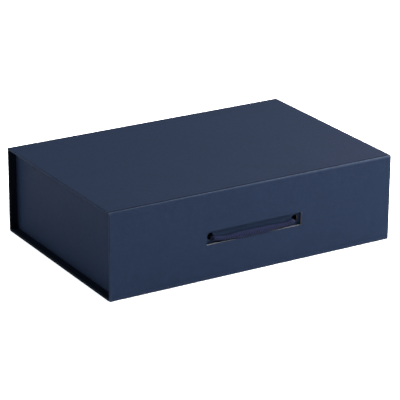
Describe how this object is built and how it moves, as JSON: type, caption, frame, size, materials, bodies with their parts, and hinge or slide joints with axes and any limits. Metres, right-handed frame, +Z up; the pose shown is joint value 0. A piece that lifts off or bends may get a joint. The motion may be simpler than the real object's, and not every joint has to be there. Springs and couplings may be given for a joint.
{
  "type": "archival box",
  "caption": "Paper-covered rigid box with a hinged lid, a magnetic front flap and a strap handle drawn through the flap's slot.",
  "frame": {"origin": "middle of the closed box's footprint, on the surface that it stands on", "axes": "+X to the right along the flap, +Y from the flap to the spine, +Z up through the lid"},
  "size_m": [0.353, 0.235, 0.0994],
  "materials": {
    "cover_paper": "matt dark blue, fine laid grain",
    "lining_paper": "matt near-black blue",
    "greyboard": "raw cut greyboard",
    "stay_paper": "brown gummed kraft tape",
    "steel": "plain pressed steel",
    "magnet": "nickel plated",
    "strap_tape": "woven herringbone tape"
  },
  "bodies": {
    "box": {"base_board": "greyboard", "base_wrap": "cover_paper", "spine_board": "greyboard", "spine_wrap": "cover_paper", "case_liner": "lining_paper", "rear_crease": "cover_paper", "tray_floor_board": "greyboard", "tray_front_board": "greyboard", "tray_back_board": "greyboard", "tray_left_board": "greyboard", "tray_right_board": "greyboard", "tray_corner_stays": "stay_paper", "tray_wrap": "cover_paper", "tray_liner": "lining_paper", "catch_discs": "steel"},
    "lid": {"lid_board": "greyboard", "lid_wrap": "cover_paper", "lid_liner": "lining_paper", "front_crease": "cover_paper"},
    "flap": {"flap_board": "greyboard", "flap_wrap": "cover_paper", "flap_liner": "lining_paper", "flap_magnets": "magnet"},
    "strap_ends": {"strap_tail_left": "strap_tape", "strap_tail_right": "strap_tape"},
    "strap_middle": {"strap_grip": "strap_tape"}
  },
  "joints": [
    {"name": "lid_fold", "type": "hinge", "parent": "box", "child": "lid", "pos_m": [0, 0.11651, 0.09841], "axis": [-1, 0, 0], "range_deg": [0, 180], "deforming": ["rear_crease"]},
    {"name": "flap_fold", "type": "hinge", "parent": "lid", "child": "flap", "pos_m": [0, -0.11651, 0.09841], "axis": [-1, 0, 0], "range_deg": [0, 110], "deforming": ["front_crease"]},
    {"name": "strap_payout", "type": "slide", "parent": "box", "child": "strap_ends", "axis": [0, -1, 0], "range_m": [0, 0.012]},
    {"name": "strap_bow", "type": "slide", "parent": "strap_ends", "child": "strap_middle", "axis": [0, -1, 0], "range_m": [0, 0.018]}
  ],
  "couplings": [
    {"joint": "strap_bow", "follows": "strap_payout", "ratio": 1.5}
  ]
}
